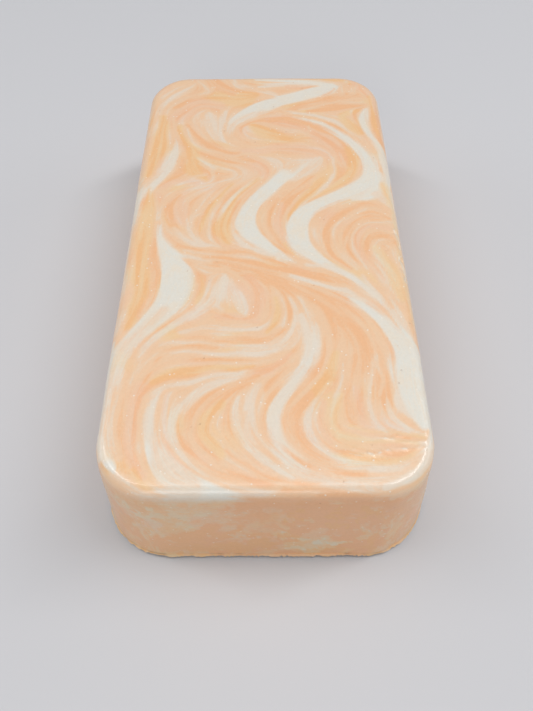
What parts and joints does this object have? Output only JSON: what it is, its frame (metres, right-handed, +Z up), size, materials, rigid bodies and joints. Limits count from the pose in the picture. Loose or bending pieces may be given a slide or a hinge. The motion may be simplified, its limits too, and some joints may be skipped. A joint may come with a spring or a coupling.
{
  "type": "swirled soap loaf",
  "caption": "Large rectangular soap slab with rounded corners and sloping sides, orange with cream swirls, turned out of its mould and not yet cut.",
  "frame": {"origin": "middle of the flat underside", "axes": "+Z up, +Y along the slab's length to the far end, +X to the right seen from the near end"},
  "size_m": [0.1712, 0.3212, 0.073],
  "materials": {
    "orange_soap": "waxy, satin",
    "cream_soap": "waxy, satin"
  },
  "bodies": {
    "root": {"orange_soap": "orange_soap", "cream_far_ribbon": "cream_soap", "cream_right_s_ribbon": "cream_soap", "cream_centre_s_ribbon": "cream_soap", "cream_right_edge_streak": "cream_soap", "cream_right_edge_pool": "cream_soap", "cream_left_streak": "cream_soap", "cream_left_pool": "cream_soap", "cream_inner_left_ribbon": "cream_soap", "cream_small_tongue": "cream_soap", "cream_hook_streak": "cream_soap", "cream_mid_streak": "cream_soap", "cream_mid_band": "cream_soap", "cream_lower_s_ribbon": "cream_soap", "cream_lower_hook": "cream_soap", "cream_lower_mid_band": "cream_soap", "cream_right_streak_a": "cream_soap", "cream_right_streak_b": "cream_soap", "cream_near_left_ribbon": "cream_soap", "cream_near_left_streak": "cream_soap"}
  },
  "joints": []
}
